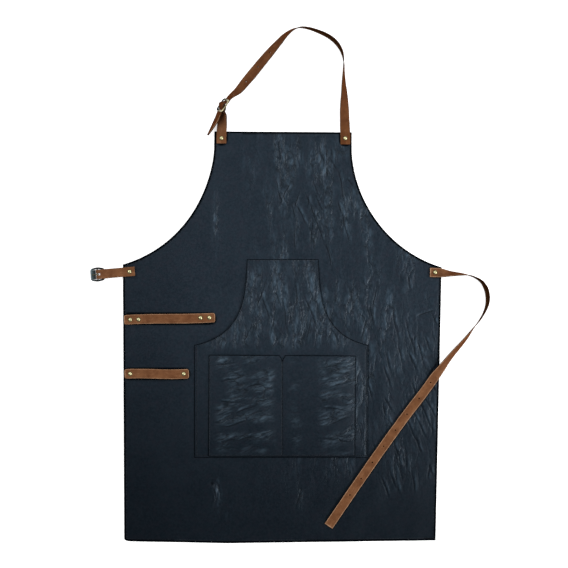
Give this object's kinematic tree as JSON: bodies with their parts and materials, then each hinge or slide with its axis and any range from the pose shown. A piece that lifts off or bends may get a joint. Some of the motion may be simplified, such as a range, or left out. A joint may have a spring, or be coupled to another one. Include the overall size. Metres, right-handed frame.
{
  "type": "leather bib apron",
  "caption": "Leather bib apron with buckled neck and waist straps, a curved hand-warmer pocket, two open tool pockets and riveted tool loops at the side.",
  "frame": {"origin": "on the panel's back face, on the line of the bib's middle, at hip height", "axes": "+Z out of the apron's front, +Y towards the neck, +X towards the right side of the apron as seen from its front; the apron lies on its back"},
  "size_m": [0.8556, 1.1088, 0.0262],
  "materials": {
    "panel_leather": "crinkled blue-black, waxed",
    "pocket_leather": "crinkled blue-black, waxed",
    "strap_leather": "smooth brown with pale raw edges",
    "rivet_brass": "antique brass, polished domes",
    "buckle_metal": "dark antique brass with rubbed high edges"
  },
  "bodies": {
    "apron": {"apron_panel": "panel_leather", "kangaroo_pocket": "pocket_leather", "pair_pocket": "pocket_leather", "upper_tool_strap": "strap_leather", "lower_tool_strap": "strap_leather", "neck_short_strap_tab": "strap_leather", "neck_strap_tab": "strap_leather", "neck_left_rivet_cap": "rivet_brass", "neck_left_rivet_post": "rivet_brass", "neck_right_rivet_cap": "rivet_brass", "neck_right_rivet_post": "rivet_brass", "waist_left_rivet_cap": "rivet_brass", "waist_left_rivet_post": "rivet_brass", "waist_right_rivet_cap": "rivet_brass", "waist_right_rivet_post": "rivet_brass", "upper_tool_rivet_1_cap": "rivet_brass", "upper_tool_rivet_1_post": "rivet_brass", "upper_tool_rivet_2_cap": "rivet_brass", "upper_tool_rivet_2_post": "rivet_brass", "upper_tool_rivet_3_cap": "rivet_brass", "upper_tool_rivet_3_post": "rivet_brass", "upper_tool_rivet_4_cap": "rivet_brass", "upper_tool_rivet_4_post": "rivet_brass", "lower_tool_rivet_1_cap": "rivet_brass", "lower_tool_rivet_1_post": "rivet_brass", "lower_tool_rivet_2_cap": "rivet_brass", "lower_tool_rivet_2_post": "rivet_brass"},
    "neck_loop": {"neck_strap": "strap_leather", "neck_short_strap": "strap_leather", "neck_buckle_frame": "buckle_metal"},
    "neck_tongue": {"neck_buckle_tongue": "buckle_metal"},
    "waist_short": {"waist_short_strap": "strap_leather"},
    "waist_frame": {"waist_buckle_frame": "buckle_metal"},
    "waist_tongue": {"waist_buckle_tongue": "buckle_metal"},
    "waist_long": {"waist_long_strap": "strap_leather"}
  },
  "joints": [
    {"name": "neck_fold", "type": "hinge", "parent": "apron", "child": "neck_loop", "pos_m": [0, 0.4416, 0.0063], "axis": [1, 0, 0], "range_deg": [0, 120]},
    {"name": "neck_tongue_lift", "type": "hinge", "parent": "neck_loop", "child": "neck_tongue", "pos_m": [-0.1265, 0.497, 0.0139], "axis": [0.4295, -0.2843, 0.8572], "range_deg": [0, 8]},
    {"name": "waist_short_swivel", "type": "hinge", "parent": "apron", "child": "waist_short", "pos_m": [-0.327, 0.1405, 0.004], "axis": [0, 0, 1], "range_deg": [-40, 40]},
    {"name": "waist_frame_swing", "type": "hinge", "parent": "waist_short", "child": "waist_frame", "pos_m": [-0.396, 0.1345, 0.0037], "axis": [-0.0872, 0.9962, 0], "range_deg": [0, 40]},
    {"name": "waist_tongue_lift", "type": "hinge", "parent": "waist_frame", "child": "waist_tongue", "pos_m": [-0.396, 0.1345, 0.0037], "axis": [-0.0872, 0.9962, 0], "range_deg": [0, 75]},
    {"name": "waist_long_swivel", "type": "hinge", "parent": "apron", "child": "waist_long", "pos_m": [0.329, 0.139, 0.003], "axis": [0, 0, 1], "range_deg": [0, 60]}
  ]
}
